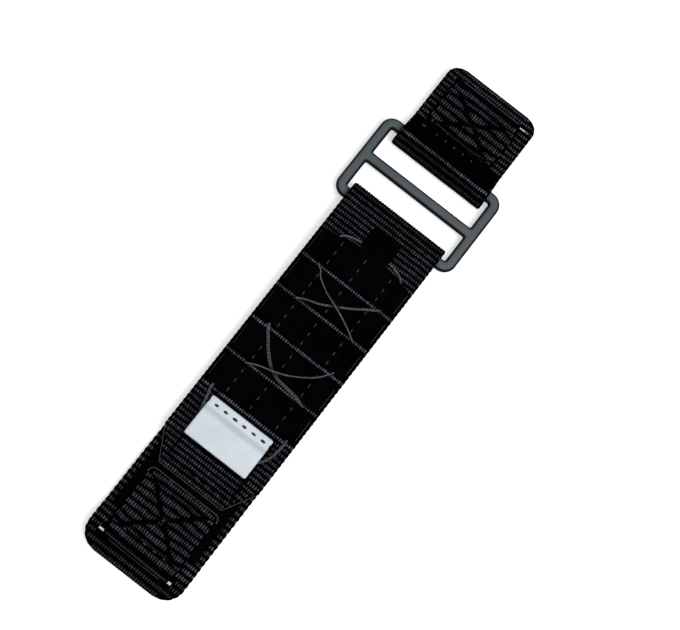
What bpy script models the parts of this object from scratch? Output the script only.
"""Nylon watch strap: two lengths of webbing on a three-bar buckle, closed by hook and loop.

Lengths are in metres. Y runs along the strap from its lower end, X across it and Z up from the table.
"""
import math

import bmesh
import bpy
from mathutils import Matrix, Vector

# Webbing and what is sewn to it
STRAP_WIDTH = 0.024
WEBBING_THICKNESS = 0.0012
TAB_WIDTH = 0.0175
TAB_THICKNESS = 0.0008
LOOP_PATCH_WIDTH = 0.0208
LOOP_PATCH_THICKNESS = 0.0006
HOOK_PATCH_WIDTH = 0.0163
HOOK_PATCH_THICKNESS = 0.0006
HOOK_PATCH_LENGTH = 0.017
RIBBON_WIDTH = 0.0069
RIBBON_THICKNESS = 0.00035
CORD_DIAMETER = 0.00075
SEAT_GAP = 0.00025

# Lengths along the strap, from its lower end upwards
LOWER_FLAP = 0.0043
LOWER_TAB_LENGTH = 0.0161
TIP_CLEARANCE = 0.0012
HOOK_INSET = 0.0017
LABEL_INSET = 0.0073
LABEL_FLAP_LENGTH = 0.0082
LABEL_HEADER_LENGTH = 0.0012
LADDER_CLEARANCE = 0.0019
BAND_COUNT = 5
BAND_PITCH = 0.00833
KEEPER_CLEARANCE = 0.0007
KEEPER_LENGTH = 0.0056
ROOT_CLEARANCE = 0.0006
SHORT_REACH = 0.0192
UPPER_FLAP = 0.0029
UPPER_TAB_LENGTH = 0.0119

# Buckle
BAR_WIDTH = 0.0025
BAR_DEPTH = 0.0021
BAR_ROUNDING = 0.0007
MIDDLE_BAR_WIDTH = 0.0024
MIDDLE_BAR_DEPTH = 0.002
BAR_SPACING = 0.0091
SIDE_PLAY = 0.001
BUCKLE_CORNER = 0.0016
LOWER_FOLD_SLACK = 0.0004
UPPER_FOLD_SLACK = 0.0009

# Lug tabs and their slits
SPRING_BAR_DIAMETER = 0.0015
SLIT_LENGTH = 0.0186
TAB_BEND = 0.0007
TAB_CORNER = 0.0009
BORE_LENGTH = 0.002
RETURN_SETBACK = 0.0029

# Ends, ramps and sags of the webbing
LOWER_END_CORNER = 0.0045
UPPER_END_CORNER = 0.0028
CHAMFER_LENGTH = 0.007
CHAMFER_INSET = 0.0039
FLAP_DROOP = 0.0004
LUG_RAMP = 0.0039
TIP_RAMP = 0.0094
SHORT_RAMP = 0.0044
PATCH_INSET = 0.0039
PATCH_END_CLEARANCE = 0.0035
SELVEDGE_WIDTH = 0.0005
SELVEDGE_SHARE = 0.6

# Ladder, keeper and label
BAND_END_INSET = 0.00065
LADDER_OFFSET = 0.0006
CHANNEL_INNER_SHARE = 0.525
CHANNEL_RAMP = 0.0011
CHANNEL_END_RAMP = 0.0013
CHANNEL_SPARE = 0.0002
KEEPER_WIDTH = 0.007
KEEPER_RETURN = 0.0016
KEEPER_TAIL = 0.001
LABEL_WIDTH = 0.0157
LABEL_THICKNESS = 0.0006
LABEL_CORNER = 0.0004
LABEL_RAMP = 0.0019
LABEL_SIDE_CLEARANCE = 0.0004
CROSSING_GAP = 0.0003

# How finely curves are cut
ROW_STEP = 0.0015
ACROSS_STEP = 0.0004
CORD_STEP = 0.003
CORNER_STEPS = 7
FOLD_STEPS = 16
BEND_STEPS = 5
NOSE_STEPS = 4
CUT_OVERRUN = 0.0005
SHARP_ANGLE_DEGREES = 35

# The lacing's route. Each point has three numbers. The first is its place across, as a share of half the
# strap's width, or beside the label as a share of the label's half width with its clearance. The second is its
# place along the ladder: 0 is the label's foot, 1 its hinge, 2 and 3 the lowest ribbon's edges, and so on to
# 12, the keeper's fold. The third is its height: 0 on the webbing, 1 over a flat ribbon, 2 over the other strand.
LACING_SHARES = (
    (0.05, 12.0, 1.0), (-0.22, 12.0, 1.0), (-0.34, 11.93, 0.85), (-0.46, 11.75, 0.6), (-0.56, 11.42, 0.3),
    (-0.62, 10.97, 0.15), (-0.64, 10.65, 0.0), (-0.64, 10.3, 0.0), (-0.625, 10.03, 0.15), (-0.585, 9.5, 0.6),
    (-0.515, 9.1, 0.97), (-0.44, 8.85, 1.0), (-0.2, 8.6, 1.05), (0.06, 8.42, 2.0), (0.31, 8.25, 1.05),
    (0.475, 8.11, 1.0), (0.59, 7.97, 0.97), (0.665, 7.5, 0.6), (0.715, 6.98, 0.15), (0.735, 6.7, 0.0),
    (0.745, 6.3, 0.0), (0.73, 6.03, 0.15), (0.68, 5.5, 0.6), (0.63, 4.97, 0.97), (0.52, 4.77, 1.0),
    (0.33, 4.53, 1.0), (0.12, 4.32, 1.25), (-0.1, 4.165, 2.0), (-0.3, 4.075, 1.2), (-0.43, 3.97, 0.97),
    (-0.53, 3.5, 0.6), (-0.615, 2.97, 0.15), (-0.65, 2.65, 0.0), (-0.69, 2.3, 0.0), (-0.745, 1.9, 0.0),
    (-0.88, 1.35, 0.0), (-0.95, 0.91, 0.0), (-0.85, 0.67, 0.0), (-0.56, 0.41, 0.0), (0.07, 0.29, 0.0),
    (0.7, 0.41, 0.0), (0.99, 0.7, 0.0), (1.1, 0.95, 0.0), (0.96, 1.55, 0.0), (0.84, 2.05, 0.0),
    (0.79, 2.5, 0.0), (0.745, 2.85, 0.05), (0.715, 3.0, 0.15), (0.65, 3.4, 0.6), (0.55, 3.8, 0.93),
    (0.4, 4.01, 1.0), (0.18, 4.045, 1.0), (0.0, 4.1, 1.0), (-0.13, 4.2, 1.0), (-0.3, 4.45, 1.0),
    (-0.43, 4.7, 1.0), (-0.55, 4.96, 0.97), (-0.61, 5.5, 0.6), (-0.64, 6.03, 0.15), (-0.645, 6.35, 0.0),
    (-0.63, 6.7, 0.0), (-0.61, 6.98, 0.15), (-0.565, 7.5, 0.6), (-0.49, 7.97, 0.97), (-0.35, 8.09, 1.0),
    (-0.17, 8.2, 1.0), (0.06, 8.42, 1.0), (0.34, 8.71, 1.0), (0.53, 8.95, 1.0), (0.635, 9.3, 0.85),
    (0.7, 9.75, 0.4), (0.735, 10.05, 0.1), (0.755, 10.4, 0.0), (0.74, 10.72, 0.0), (0.71, 10.98, 0.15),
    (0.65, 11.42, 0.3), (0.54, 11.78, 0.6), (0.43, 11.95, 0.85), (0.31, 12.0, 1.0),
)

# Places along the strap, worked out from the sizes
HALF_WIDTH = STRAP_WIDTH / 2
HALF_BAND = HALF_WIDTH - BAND_END_INSET
CHANNEL_INNER = HALF_WIDTH * CHANNEL_INNER_SHARE
LOWER_SLIT = LOWER_FLAP
LOWER_TAB_END = LOWER_SLIT + LOWER_TAB_LENGTH
TIP = LOWER_TAB_END + TIP_CLEARANCE
HOOK_START = TIP + HOOK_INSET
HOOK_END = HOOK_START + HOOK_PATCH_LENGTH
LABEL_FOOT = TIP + LABEL_INSET
LABEL_LINE = LABEL_FOOT + LABEL_FLAP_LENGTH
LABEL_AXIS = LABEL_LINE - LABEL_THICKNESS / 2
HEADER_START = LABEL_AXIS + LABEL_THICKNESS + SEAT_GAP
LABEL_TOP = LABEL_LINE + SEAT_GAP + LABEL_HEADER_LENGTH
LADDER_BASE = LABEL_TOP + LADDER_CLEARANCE + RIBBON_WIDTH / 2
LADDER_TOP = LADDER_BASE + BAND_PITCH * (BAND_COUNT - 1) + RIBBON_WIDTH / 2
KEEPER_FOOT = LADDER_TOP + KEEPER_CLEARANCE
KEEPER_TOP = KEEPER_FOOT + KEEPER_LENGTH
KEEPER_BEND = CORD_DIAMETER / 2 + SEAT_GAP + RIBBON_THICKNESS / 2
KEEPER_FOLD = KEEPER_FOOT + KEEPER_BEND + RIBBON_THICKNESS / 2
FREE_ROOT = KEEPER_TOP + ROOT_CLEARANCE + WEBBING_THICKNESS / 2
LOWER_BAR = FREE_ROOT + WEBBING_THICKNESS + SEAT_GAP
MIDDLE_BAR = LOWER_BAR + BAR_SPACING
UPPER_BAR = MIDDLE_BAR + BAR_SPACING
UPPER_END = UPPER_BAR + SHORT_REACH
UPPER_SLIT = UPPER_END - UPPER_FLAP
UPPER_TAB_END = UPPER_SLIT - UPPER_TAB_LENGTH
RETURN_END = UPPER_SLIT - RETURN_SETBACK
PATCH_START = LOWER_SLIT + PATCH_INSET
PATCH_END = LOWER_BAR - BAR_WIDTH / 2 - PATCH_END_CLEARANCE
MIDDLE = UPPER_END / 2

# Heights above the table, and above the free end's face
BAR_HEIGHT = WEBBING_THICKNESS + SEAT_GAP + BAR_WIDTH / 2
FOLD_TOP = BAR_HEIGHT + BAR_WIDTH / 2 + SEAT_GAP
FOLD_RADIUS = FOLD_TOP / 2
SLIT_WIDTH = TAB_THICKNESS + SEAT_GAP * 2
SHELF_HEIGHT = TAB_THICKNESS + SEAT_GAP
BORE_TOP = TAB_THICKNESS + SPRING_BAR_DIAMETER
STACK_HEIGHT = WEBBING_THICKNESS + LOOP_PATCH_THICKNESS + HOOK_PATCH_THICKNESS + SEAT_GAP * 3
UPPER_LAYER = SHELF_HEIGHT + WEBBING_THICKNESS + SEAT_GAP
CORD_LOW = SEAT_GAP + CORD_DIAMETER / 2
CORD_HIGH = RIBBON_THICKNESS + SEAT_GAP * 2 + CORD_DIAMETER / 2
CORD_CROSSING = CORD_HIGH + CORD_DIAMETER + CROSSING_GAP
CHANNEL_RISE = SEAT_GAP + CORD_DIAMETER + CHANNEL_SPARE
LABEL_RISE = SEAT_GAP + CORD_DIAMETER
LABEL_SIDE = LABEL_WIDTH / 2 + LABEL_SIDE_CLEARANCE + CORD_DIAMETER / 2
WINDOW_HALF = HALF_WIDTH + SIDE_PLAY


def ramp(place, start, length):
    """Return 0 before start and 1 from start + length on, with an eased rise between."""
    share = min(max((place - start) / length, 0), 1)
    return share * share * (3 - 2 * share)


def base_under(y):
    """Height of the long strap's underside, from over the spring bar down to the table."""
    height = BORE_TOP - FLAP_DROOP * (1 - ramp(y, 0, LOWER_SLIT))
    height -= (BORE_TOP - SHELF_HEIGHT) * ramp(y, LOWER_SLIT + BORE_LENGTH, LUG_RAMP)
    return height - SHELF_HEIGHT * ramp(y, LOWER_TAB_END, TIP_RAMP)


def lower_tab_under(y):
    """Height of the lower lug tab's underside, on the webbing and then on the loop patch."""
    on_webbing = base_under(y) + WEBBING_THICKNESS + SEAT_GAP
    patch = LOOP_PATCH_THICKNESS + SEAT_GAP
    return on_webbing + patch * ramp(y, LOWER_SLIT + BORE_LENGTH, LUG_RAMP / 2)


def front_under(y):
    """Height of the free end's underside, over the hook patch and then rising to the fold's top."""
    rise = (FOLD_TOP - STACK_HEIGHT) * ramp(y, HOOK_END, FREE_ROOT - HOOK_END)
    return base_under(y) + STACK_HEIGHT + rise


def front_top(y):
    """Height of the free end's upper face, which carries the ladder."""
    return front_under(y) + WEBBING_THICKNESS


def short_return_under(y):
    """Height of the short strap's lower layer, from the table up onto the lug tab's return."""
    return SHELF_HEIGHT * ramp(y, UPPER_BAR, SHORT_RAMP)


def short_top_under(y):
    """Height of the short strap's upper layer, from the fold's top down to the drooping end."""
    height = FOLD_TOP - (FOLD_TOP - UPPER_LAYER) * ramp(y, UPPER_BAR, SHORT_RAMP)
    return height - FLAP_DROOP * ramp(y, UPPER_SLIT, UPPER_FLAP)


def spread(start, end, step=ROW_STEP):
    """Return places from start to end, both included, no more than a step apart."""
    count = max(1, math.ceil(abs(end - start) / step))
    return [start + (end - start) * i / count for i in range(count + 1)]


def corner_places(end, inward, corner):
    """Return places from a rounded end inwards, closer together at the very end."""
    turns = [math.pi / 2 * i / CORNER_STEPS for i in range(CORNER_STEPS + 1)]
    return [end + inward * corner * (1 - math.cos(turn)) for turn in turns]


def rounded_half(place, end, inward, half, corner):
    """Return the half width of a strip near its rounded end, whose strip lies inward of it."""
    drop = corner - (place - end) * inward
    if drop <= 0:
        return half
    return half - corner + math.sqrt(max(corner * corner - drop * drop, 0))


def arc(centre, radius, start_degrees, end_degrees, steps):
    """Return points on an arc about centre, from one angle to the other."""
    turn = end_degrees - start_degrees
    angles = [math.radians(start_degrees + turn * i / steps) for i in range(steps + 1)]
    return [(centre[0] + radius * math.cos(a), centre[1] + radius * math.sin(a)) for a in angles]


def add_nose(path, thickness):
    """Round the far end of a centre line, and return the longer line and its thicknesses."""
    run = Vector(path[-1]) - Vector(path[-2])
    run.normalize()
    centre = Vector(path[-1])
    thicknesses = [thickness] * len(path)
    for i in range(1, NOSE_STEPS + 1):
        turn = math.pi / 2 * i / (NOSE_STEPS + 1 / 2)
        path.append(tuple(centre + run * thickness / 2 * math.sin(turn)))
        thicknesses.append(thickness * math.cos(turn))
    return path, thicknesses


def offset_faces(path, thicknesses):
    """Return the two faces' points on both sides of a centre line, square to it."""
    over, under = [], []
    for i, here in enumerate(path):
        before = Vector(path[max(i - 1, 0)])
        after = Vector(path[min(i + 1, len(path) - 1)])
        run = (after - before).normalized()
        side = Vector((-run.y, run.x)) * thicknesses[i] / 2
        over.append(Vector(here) + side)
        under.append(Vector(here) - side)
    return over, under


def link(name, data):
    """Add an object with this data to the scene."""
    piece = bpy.data.objects.new(name, data)
    bpy.context.scene.collection.objects.link(piece)
    return piece


def finish_mesh(name, shape):
    """Turn a bmesh into a smooth-shaded object with its faces pointing out."""
    bmesh.ops.recalc_face_normals(shape, faces=shape.faces)
    mesh = bpy.data.meshes.new(name)
    shape.to_mesh(mesh)
    shape.free()
    mesh.shade_smooth()
    mesh.set_sharp_from_angle(angle=math.radians(SHARP_ANGLE_DEGREES))
    return link(name, mesh)


def add_material(piece, name, colour, roughness, metallic=0.0):
    """Give the piece a Principled material of its own."""
    material = bpy.data.materials.new(name)
    material.use_nodes = True
    shader = material.node_tree.nodes["Principled BSDF"]
    shader.inputs["Base Color"].default_value = (*colour, 1.0)
    shader.inputs["Roughness"].default_value = roughness
    shader.inputs["Metallic"].default_value = metallic
    piece.data.materials.append(material)


def closed_sheet(name, over, under):
    """Join two equal grids of points into one closed solid, with walls round their edge."""
    shape = bmesh.new()
    top = [[shape.verts.new(point) for point in row] for row in over]
    bottom = [[shape.verts.new(point) for point in row] for row in under]
    rows = len(top)
    columns = len(top[0])
    for i in range(rows - 1):
        for j in range(columns - 1):
            shape.faces.new((top[i][j], top[i][j + 1], top[i + 1][j + 1], top[i + 1][j]))
            shape.faces.new((bottom[i][j], bottom[i + 1][j], bottom[i + 1][j + 1], bottom[i][j + 1]))
        for j in (0, columns - 1):
            shape.faces.new((top[i][j], top[i + 1][j], bottom[i + 1][j], bottom[i][j]))
    for j in range(columns - 1):
        for i in (0, rows - 1):
            shape.faces.new((top[i][j], top[i][j + 1], bottom[i][j + 1], bottom[i][j]))
    return finish_mesh(name, shape)


def strip(name, path, thicknesses, half_width, shift=0.0):
    """Sweep a flat strip along a centre line in the Y-Z plane, thinner along its two long edges."""
    over_rows, under_rows = [], []
    thin = (1 - SELVEDGE_SHARE) / 2
    for centre, over, under in zip(path, *offset_faces(path, thicknesses)):
        half = half_width(centre[0])
        edges = ((-half, thin), (-half + SELVEDGE_WIDTH, 0), (half - SELVEDGE_WIDTH, 0), (half, thin))
        over_rows.append([(x + shift, *along(over.lerp(under, share))) for x, share in edges])
        under_rows.append([(x + shift, *along(under.lerp(over, share))) for x, share in edges])
    return closed_sheet(name, over_rows, under_rows)


def along(point):
    """Return a side-view point with its place measured from the strap's middle."""
    return point[0] - MIDDLE, point[1]


def lying(places, height_under, thickness):
    """Return the centre line of a layer that lies on the given underside."""
    return [(y, height_under(y) + thickness / 2) for y in places]


def cut_slit(piece, name, place, floor):
    """Cut the lug tab's slit straight down through one webbing layer, and return the cutter."""
    shape = bmesh.new()
    bmesh.ops.create_cube(shape, size=1)
    depth = WEBBING_THICKNESS + CUT_OVERRUN * 2
    bmesh.ops.scale(shape, vec=(SLIT_LENGTH, SLIT_WIDTH, depth), verts=shape.verts)
    bmesh.ops.translate(shape, vec=(0, place - MIDDLE, floor + WEBBING_THICKNESS / 2), verts=shape.verts)
    cutter = finish_mesh(name, shape)
    cutter.hide_render = True
    cutter.display_type = "WIRE"
    modifier = piece.modifiers.new("slit", "BOOLEAN")
    modifier.operation = "DIFFERENCE"
    modifier.solver = "EXACT"
    modifier.object = cutter
    return cutter


def place_axis(name, y, z, parent=None):
    """Place an empty on a joint's axis."""
    axis = link(name, None)
    axis.empty_display_size = BAR_WIDTH
    axis["place"] = (0.0, y - MIDDLE, z)
    axis.location = Vector(axis["place"])
    if parent:
        axis.parent = parent
        axis.location -= Vector(parent["place"])
    return axis


def hang(axis, *pieces):
    """Parent pieces to their joint's empty, with their own origins on its axis."""
    for piece in pieces:
        piece.data.transform(Matrix.Translation(-Vector(axis["place"])))
        piece.parent = axis


def make_long_strap():
    """Make the long webbing, from its rounded end to the fold round the lower bar."""
    turn = LOWER_BAR + LOWER_FOLD_SLACK
    places = corner_places(0, 1, LOWER_END_CORNER) + spread(LOWER_END_CORNER, turn)[1:]
    path = lying(places, base_under, WEBBING_THICKNESS)
    path += arc((turn, BAR_HEIGHT), FOLD_RADIUS, -90, 90, FOLD_STEPS)[1:]
    path.append((LOWER_BAR, FOLD_TOP + WEBBING_THICKNESS / 2))
    path, thicknesses = add_nose(path, WEBBING_THICKNESS)
    piece = strip("long_strap", path, thicknesses,
                  lambda y: rounded_half(y, 0, 1, HALF_WIDTH, LOWER_END_CORNER))
    add_material(piece, "long_webbing", (0.012, 0.012, 0.015), 0.8)
    cut_slit(piece, "lower_slit_cutter", LOWER_SLIT, base_under(LOWER_SLIT))


def make_short_strap():
    """Make the short webbing, folded round the upper bar with its lower layer sewn under its upper one."""
    turn = UPPER_BAR - UPPER_FOLD_SLACK
    path = lying(spread(RETURN_END, turn), short_return_under, WEBBING_THICKNESS)
    path += arc((turn, BAR_HEIGHT), FOLD_RADIUS, -90, -270, FOLD_STEPS)[1:]
    places = spread(turn, UPPER_END - UPPER_END_CORNER)[1:]
    places += corner_places(UPPER_END, -1, UPPER_END_CORNER)[-2::-1]
    path += lying(places, short_top_under, WEBBING_THICKNESS)
    piece = strip("short_strap", path, [WEBBING_THICKNESS] * len(path),
                  lambda y: rounded_half(y, UPPER_END, -1, HALF_WIDTH, UPPER_END_CORNER))
    add_material(piece, "short_webbing", (0.012, 0.012, 0.015), 0.8)
    return piece, cut_slit(piece, "upper_slit_cutter", UPPER_SLIT, short_top_under(UPPER_SLIT))


def make_free_end():
    """Make the webbing's free end, from its chamfered tip to its rounded root beside the fold."""
    places = spread(TIP, TIP + CHAMFER_LENGTH) + spread(TIP + CHAMFER_LENGTH, FREE_ROOT)[1:]
    path, thicknesses = add_nose(lying(places, front_under, WEBBING_THICKNESS), WEBBING_THICKNESS)
    piece = strip("free_end", path, thicknesses,
                  lambda y: HALF_WIDTH - CHAMFER_INSET * max(0, 1 - (y - TIP) / CHAMFER_LENGTH))
    add_material(piece, "free_end_webbing", (0.012, 0.012, 0.015), 0.8)
    return piece


def make_patches():
    """Make the loop patch on the long strap, and the hook patch under the free end."""
    path = lying(spread(PATCH_START, PATCH_END), lambda y: base_under(y) + WEBBING_THICKNESS + SEAT_GAP,
                 LOOP_PATCH_THICKNESS)
    loop = strip("loop_fastener", path, [LOOP_PATCH_THICKNESS] * len(path), lambda y: LOOP_PATCH_WIDTH / 2)
    add_material(loop, "loop_pile", (0.004, 0.004, 0.005), 0.95)
    drop = HOOK_PATCH_THICKNESS + SEAT_GAP
    path = lying(spread(HOOK_START, HOOK_END), lambda y: front_under(y) - drop, HOOK_PATCH_THICKNESS)
    hook = strip("hook_fastener", path, [HOOK_PATCH_THICKNESS] * len(path), lambda y: HOOK_PATCH_WIDTH / 2)
    add_material(hook, "hook_field", (0.006, 0.006, 0.007), 0.6)
    return hook


def tab_path(slit, far_end, top_under, inward):
    """Return a lug tab's centre line: along the face, down through the slit and back beneath."""
    bend = slit + TAB_BEND * inward
    straight = corner_places(far_end, -inward, TAB_CORNER)
    straight += spread(far_end - TAB_CORNER * inward, bend)[1:]
    path = lying(straight, top_under, TAB_THICKNESS)
    outward = 180 if inward > 0 else 0
    path += arc((bend, path[-1][1] - TAB_BEND), TAB_BEND, 90, outward, BEND_STEPS)[1:]
    down = 270 if inward > 0 else -90
    path += arc((bend, TAB_THICKNESS / 2 + TAB_BEND), TAB_BEND, outward, down, BEND_STEPS)
    path += [(y, TAB_THICKNESS / 2) for y in straight[-2::-1]]
    return path


def make_lug_tab(name, slit, far_end, top_under, inward):
    """Make one lug tab, whose loop under the slit holds the watch's spring bar."""
    path = tab_path(slit, far_end, top_under, inward)
    piece = strip(name, path, [TAB_THICKNESS] * len(path),
                  lambda y: rounded_half(y, far_end, -inward, TAB_WIDTH / 2, TAB_CORNER))
    add_material(piece, name + "_webbing", (0.012, 0.012, 0.015), 0.8)
    return piece


def channel(x):
    """Return how far a ribbon rises over the cord, as a share, at a place across the strap."""
    inner = ramp(abs(x - LADDER_OFFSET), CHANNEL_INNER, CHANNEL_RAMP)
    outer = 1 - ramp(abs(x), HALF_BAND - CHANNEL_END_RAMP, CHANNEL_END_RAMP)
    return inner * outer


def make_band(number, centre, rise):
    """Make one ribbon across the free end, raised near both its ends where the cord runs under it."""
    places = spread(-HALF_BAND, HALF_BAND, ACROSS_STEP)
    path = [(x, SEAT_GAP + RIBBON_THICKNESS / 2 + rise * channel(x)) for x in places]
    over, under = offset_faces(path, [RIBBON_THICKNESS] * len(path))
    edges = (centre - RIBBON_WIDTH / 2, centre + RIBBON_WIDTH / 2)
    over_rows = [[(point.x, y - MIDDLE, point.y + front_top(y)) for y in edges] for point in over]
    under_rows = [[(point.x, y - MIDDLE, point.y + front_top(y)) for y in edges] for point in under]
    piece = closed_sheet(f"cross_band_{number}", over_rows, under_rows)
    add_material(piece, f"ribbon_{number}", (0.004, 0.004, 0.005), 0.75)
    return piece


def make_keeper():
    """Make the small ribbon that is folded round the top of the lacing."""
    flat = SEAT_GAP + RIBBON_THICKNESS / 2
    places = spread(KEEPER_FOLD + KEEPER_RETURN, KEEPER_FOLD, ACROSS_STEP)
    path = lying(places, lambda y: front_top(y) + SEAT_GAP, RIBBON_THICKNESS)
    path += arc((KEEPER_FOLD, front_top(KEEPER_FOLD) + CORD_HIGH), KEEPER_BEND, -90, -270, FOLD_STEPS)[1:]
    fall = CORD_HIGH + KEEPER_BEND - flat
    run = KEEPER_TOP - KEEPER_TAIL - KEEPER_FOLD
    for y in spread(KEEPER_FOLD, KEEPER_TOP, ACROSS_STEP)[1:]:
        path.append((y, front_top(y) + flat + fall * (1 - ramp(y, KEEPER_FOLD, run))))
    piece = strip("cord_keeper", path, [RIBBON_THICKNESS] * len(path), lambda y: KEEPER_WIDTH / 2,
                  LADDER_OFFSET)
    add_material(piece, "keeper_ribbon", (0.004, 0.004, 0.005), 0.75)
    return piece


def between(marks, number):
    """Return the value a number of marks along a list, part of the way between two of them."""
    low = min(int(number), len(marks) - 2)
    return marks[low] + (marks[low + 1] - marks[low]) * (number - low)


def ladder_marks():
    """Return the places that the lacing's route is measured by, from the label to the keeper."""
    marks = [LABEL_FOOT, LABEL_AXIS]
    for number in range(BAND_COUNT):
        centre = LADDER_BASE + BAND_PITCH * number
        marks += [centre - RIBBON_WIDTH / 2, centre + RIBBON_WIDTH / 2]
    return marks + [KEEPER_FOLD]


def lacing_point(marks, share):
    """Return the place of one route point of the lacing."""
    y = between(marks, share[1])
    reach = between((LABEL_SIDE, HALF_WIDTH), min(max(share[1] - 1, 0), 1))
    height = between((CORD_LOW, CORD_HIGH, CORD_CROSSING), share[2])
    return Vector((reach * share[0], y - MIDDLE, front_top(y) + height))


def smooth_loop(points, step):
    """Return points along a closed smooth curve through the given ones, about a step apart."""
    count = len(points)
    curve = []
    for i in range(count):
        before, start, end, after = (points[(i + k) % count] for k in (-1, 0, 1, 2))
        parts = max(1, round((end - start).length / step))
        for k in range(parts):
            t = k / parts
            bend = before * 2 - start * 5 + end * 4 - after
            twist = start * 3 - before - end * 3 + after
            curve.append((start * 2 + (end - before) * t + bend * t ** 2 + twist * t ** 3) / 2)
    return curve


def make_cord():
    """Make the lacing as one closed round cord along its route."""
    marks = ladder_marks()
    points = smooth_loop([lacing_point(marks, share) for share in LACING_SHARES], CORD_STEP)
    data = bpy.data.curves.new("lacing_cord", "CURVE")
    data.dimensions = "3D"
    data.bevel_depth = CORD_DIAMETER / 2
    data.bevel_resolution = 2
    data.use_fill_caps = True
    spline = data.splines.new("POLY")
    spline.points.add(len(points) - 1)
    for target, point in zip(spline.points, points):
        target.co = (*point, 1)
    spline.use_cyclic_u = True
    piece = link("lacing_cord", data)
    add_material(piece, "cord_sheath", (0.09, 0.1, 0.11), 0.6)
    return piece


def label_under(y):
    """Height of the label's underside, from its sewn line down over the lacing's lower bend."""
    return front_top(y) + SEAT_GAP + LABEL_RISE * (1 - ramp(y, LABEL_AXIS - LABEL_RAMP, LABEL_RAMP))


def make_label():
    """Make the label's sewn header and its flap, which lifts along the sewn line."""
    places = corner_places(LABEL_FOOT, 1, LABEL_CORNER)
    places += spread(LABEL_FOOT + LABEL_CORNER, LABEL_AXIS, ACROSS_STEP)[1:]
    path, thicknesses = add_nose(lying(places, label_under, LABEL_THICKNESS), LABEL_THICKNESS)
    flap = strip("pull_label", path, thicknesses,
                 lambda y: rounded_half(y, LABEL_FOOT, 1, LABEL_WIDTH / 2, LABEL_CORNER))
    add_material(flap, "label_face", (0.62, 0.68, 0.74), 0.5)
    places = corner_places(LABEL_TOP, -1, LABEL_CORNER) + [HEADER_START]
    path, thicknesses = add_nose(lying(places, label_under, LABEL_THICKNESS), LABEL_THICKNESS)
    header = strip("pull_label_header", path, thicknesses,
                   lambda y: rounded_half(y, LABEL_TOP, -1, LABEL_WIDTH / 2, LABEL_CORNER))
    add_material(header, "label_header", (0.62, 0.68, 0.74), 0.5)
    return flap, header


def bar_section(width, depth):
    """Return the outline of a bar's rounded section, as places across it and up it."""
    outline = []
    for right, up, start in ((1, 1, 0), (-1, 1, 90), (-1, -1, 180), (1, -1, 270)):
        centre = (right * (width / 2 - BAR_ROUNDING), up * (depth / 2 - BAR_ROUNDING))
        outline += arc(centre, BAR_ROUNDING, start, start + 90, NOSE_STEPS)
    return outline


def tube(name, stations, outline, closed):
    """Skin a section over stations, each a centre and its direction across in the plan."""
    shape = bmesh.new()
    rings = []
    for centre, across in stations:
        ring = [(centre[0] + across[0] * u, centre[1] + across[1] * u, BAR_HEIGHT + v) for u, v in outline]
        rings.append([shape.verts.new(point) for point in ring])
    size = len(outline)
    last = len(rings) if closed else len(rings) - 1
    for i in range(last):
        here = rings[i]
        following = rings[(i + 1) % len(rings)]
        for j in range(size):
            k = (j + 1) % size
            shape.faces.new((here[j], here[k], following[k], following[j]))
    if not closed:
        shape.faces.new(rings[0])
        shape.faces.new(rings[-1])
    return finish_mesh(name, shape)


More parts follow.
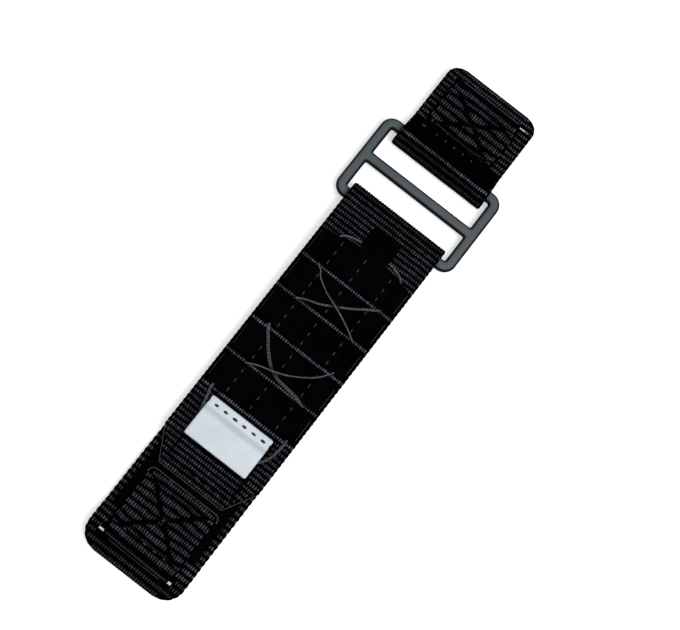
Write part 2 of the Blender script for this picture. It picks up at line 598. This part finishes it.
def make_buckle():
    """Make the buckle: a rounded frame with a middle bar joined to its two sides."""
    half = WINDOW_HALF + BAR_WIDTH / 2
    corners = ((1, UPPER_BAR, 0), (-1, UPPER_BAR, 90), (-1, LOWER_BAR, 180), (1, LOWER_BAR, 270))
    stations = []
    for right, place, start in corners:
        up = 1 if place == UPPER_BAR else -1
        centre = (right * (half - BUCKLE_CORNER), place - MIDDLE - up * BUCKLE_CORNER)
        for i in range(CORNER_STEPS + 1):
            angle = math.radians(start + 90 * i / CORNER_STEPS)
            across = (math.cos(angle), math.sin(angle))
            bend = (centre[0] + across[0] * BUCKLE_CORNER, centre[1] + across[1] * BUCKLE_CORNER)
            stations.append((bend, across))
    frame = tube("buckle_frame", stations, bar_section(BAR_WIDTH, BAR_DEPTH), True)
    add_material(frame, "buckle_paint", (0.055, 0.068, 0.075), 0.35, 0.6)
    ends = [((side * half, MIDDLE_BAR - MIDDLE), (0, 1)) for side in (-1, 1)]
    bar = tube("middle_bar_tool", ends, bar_section(MIDDLE_BAR_WIDTH, MIDDLE_BAR_DEPTH), False)
    bar.hide_render = True
    bar.display_type = "WIRE"
    modifier = frame.modifiers.new("middle_bar", "BOOLEAN")
    modifier.operation = "UNION"
    modifier.solver = "EXACT"
    modifier.object = bar
    return frame, bar


def clear_scene():
    """Remove every object, so that the script can be run again."""
    for piece in list(bpy.data.objects):
        bpy.data.objects.remove(piece, do_unlink=True)


def main():
    """Build the strap, body by body."""
    clear_scene()
    make_long_strap()
    hook = make_patches()
    make_lug_tab("lower_lug_tab", LOWER_SLIT, LOWER_TAB_END, lower_tab_under, 1)

    free_axis = place_axis("free_end_axis", FREE_ROOT, FOLD_TOP + WEBBING_THICKNESS / 2)
    hang(free_axis, make_free_end(), hook, make_keeper(), make_cord())
    for number in range(1, BAND_COUNT + 1):
        rise = CHANNEL_RISE if number % 2 else 0
        hang(free_axis, make_band(number, LADDER_BASE + BAND_PITCH * (number - 1), rise))

    flap, header = make_label()
    label_height = label_under(LABEL_AXIS) + LABEL_THICKNESS / 2
    label_axis = place_axis("label_axis", LABEL_AXIS, label_height, free_axis)
    hang(free_axis, header)
    hang(label_axis, flap)

    buckle_axis = place_axis("buckle_axis", LOWER_BAR, BAR_HEIGHT)
    hang(buckle_axis, *make_buckle())
    short_axis = place_axis("short_strap_axis", UPPER_BAR, BAR_HEIGHT, buckle_axis)
    hang(short_axis, *make_short_strap())
    upper_tab = make_lug_tab("upper_lug_tab", UPPER_SLIT, UPPER_TAB_END,
                             lambda y: short_top_under(y) + WEBBING_THICKNESS + SEAT_GAP, -1)
    hang(short_axis, upper_tab)


main()
